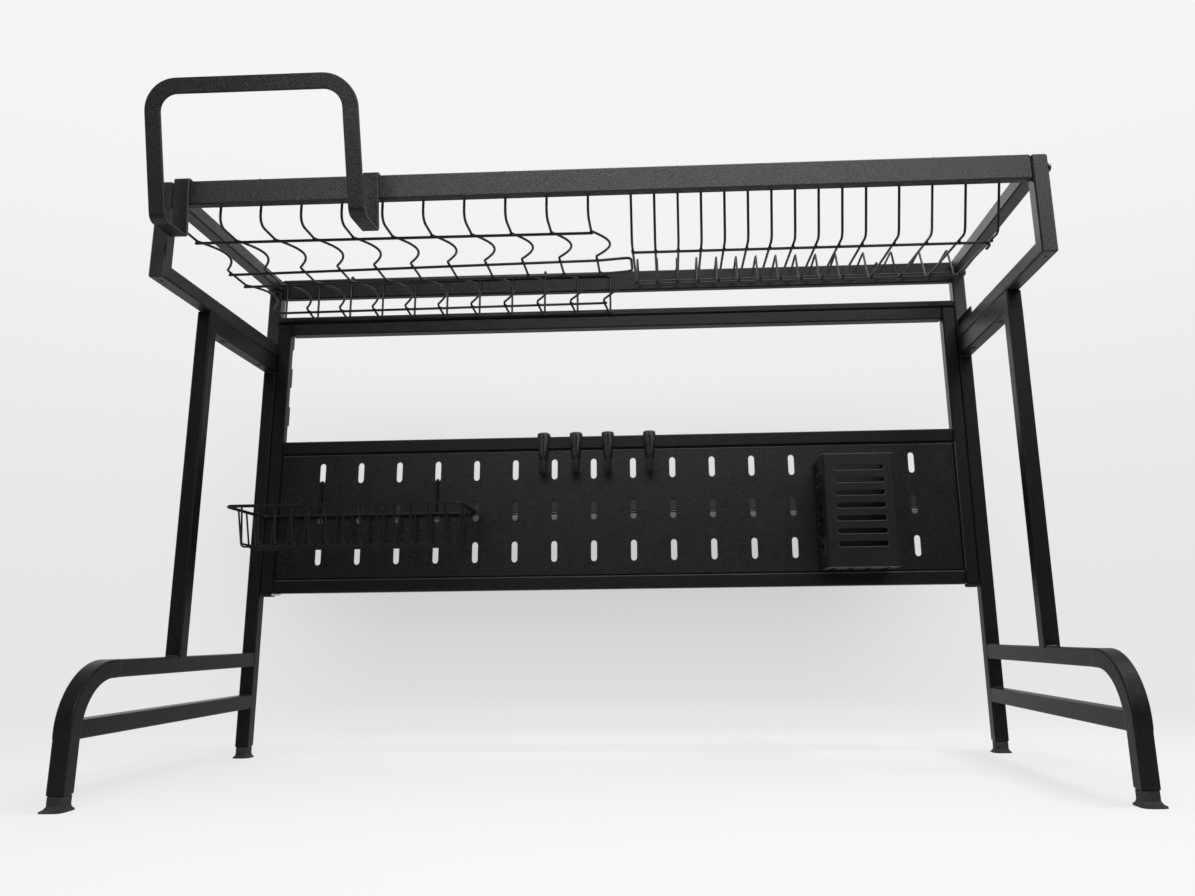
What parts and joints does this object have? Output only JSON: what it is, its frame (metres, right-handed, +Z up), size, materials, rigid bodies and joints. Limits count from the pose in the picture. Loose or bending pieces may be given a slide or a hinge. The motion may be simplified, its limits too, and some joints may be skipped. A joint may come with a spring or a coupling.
{
  "type": "over sink dish rack",
  "caption": "Freestanding over sink dish rack: tube legs carry a shelf with bowl and plate racks and a board holder, and a slotted panel with hooks, wire basket and cutlery box.",
  "frame": {"origin": "on the worktop under the middle of the whole part's bounding box", "axes": "+X to the right seen from the front, +Y from the front towards the slotted panel at the back, +Z up"},
  "size_m": [0.8562, 0.3536, 0.6343],
  "materials": {
    "powder_coat": "matte black powder coat on steel tube and sheet",
    "coated_wire": "satin black coating on welded steel wire",
    "foot_rubber": "matte black rubber",
    "moulded_black": "fine grained matte black moulding",
    "bolt_steel": "dark zinc plated steel"
  },
  "bodies": {
    "frame": {"side_frame_left": "powder_coat", "side_frame_right": "powder_coat", "leg_frame_left": "powder_coat", "leg_frame_right": "powder_coat", "front_top_bar": "powder_coat", "back_top_bar": "powder_coat", "panel_rail_left": "powder_coat", "panel_rail_right": "powder_coat", "panel_cap_strip": "powder_coat", "panel_top_bar": "powder_coat", "panel_mid_bar": "powder_coat", "panel_low_bar": "powder_coat", "peg_board": "powder_coat", "rear_crossbar": "powder_coat", "rail_end_plug_left": "moulded_black", "rail_end_plug_right": "moulded_black", "corner_bracket_right": "powder_coat", "foot_front_left": "foot_rubber", "foot_front_right": "foot_rubber", "foot_back_left": "foot_rubber", "foot_back_right": "foot_rubber", "frame_bolt_front_left": "bolt_steel", "frame_bolt_back_left": "bolt_steel", "frame_bolt_front_right": "bolt_steel", "frame_bolt_back_right": "bolt_steel", "leg_bolt_front_left": "bolt_steel", "leg_bolt_back_left": "bolt_steel", "leg_bolt_front_right": "bolt_steel", "leg_bolt_back_right": "bolt_steel"},
    "bowl_rack": {"bowl_rack": "coated_wire"},
    "plate_rack": {"plate_wire_01": "coated_wire", "plate_wire_02": "coated_wire", "plate_wire_03": "coated_wire", "plate_wire_04": "coated_wire", "plate_wire_05": "coated_wire", "plate_wire_06": "coated_wire", "plate_wire_07": "coated_wire", "plate_wire_08": "coated_wire", "plate_wire_09": "coated_wire", "plate_wire_10": "coated_wire", "plate_wire_11": "coated_wire", "plate_wire_12": "coated_wire", "plate_wire_13": "coated_wire", "plate_wire_14": "coated_wire", "plate_wire_15": "coated_wire", "plate_front_rail": "coated_wire", "plate_rear_rail": "coated_wire", "plate_front_rim": "coated_wire", "plate_shelf_rail": "coated_wire", "plate_separator_rail": "coated_wire"},
    "board_holder": {"board_holder": "powder_coat"},
    "wire_basket": {"wire_basket": "coated_wire"},
    "cutlery_box": {"cutlery_box": "moulded_black"},
    "hook_1": {"panel_hook_1": "moulded_black"},
    "hook_2": {"panel_hook_2": "moulded_black"},
    "hook_3": {"panel_hook_3": "moulded_black"},
    "hook_4": {"panel_hook_4": "moulded_black"}
  },
  "joints": [
    {"name": "bowl_rack_lift", "type": "slide", "parent": "frame", "child": "bowl_rack", "axis": [0, 0, 1], "range_m": [0, 0.065]},
    {"name": "plate_rack_lift", "type": "slide", "parent": "frame", "child": "plate_rack", "axis": [0, 0, 1], "range_m": [0, 0.07]},
    {"name": "board_holder_lift", "type": "slide", "parent": "frame", "child": "board_holder", "axis": [0, 0, 1], "range_m": [0, 0.07]},
    {"name": "wire_basket_lift", "type": "slide", "parent": "frame", "child": "wire_basket", "axis": [0, 0, 1], "range_m": [0, 0.012]},
    {"name": "cutlery_box_lift", "type": "slide", "parent": "frame", "child": "cutlery_box", "axis": [0, 0, 1], "range_m": [0, 0.012]},
    {"name": "hook_1_slide", "type": "slide", "parent": "frame", "child": "hook_1", "axis": [1, 0, 0], "range_m": [-0.1, 0.0105]},
    {"name": "hook_2_slide", "type": "slide", "parent": "frame", "child": "hook_2", "axis": [1, 0, 0], "range_m": [-0.0105, 0.0105]},
    {"name": "hook_3_slide", "type": "slide", "parent": "frame", "child": "hook_3", "axis": [1, 0, 0], "range_m": [-0.0105, 0.016]},
    {"name": "hook_4_slide", "type": "slide", "parent": "frame", "child": "hook_4", "axis": [1, 0, 0], "range_m": [-0.016, 0.17]}
  ]
}
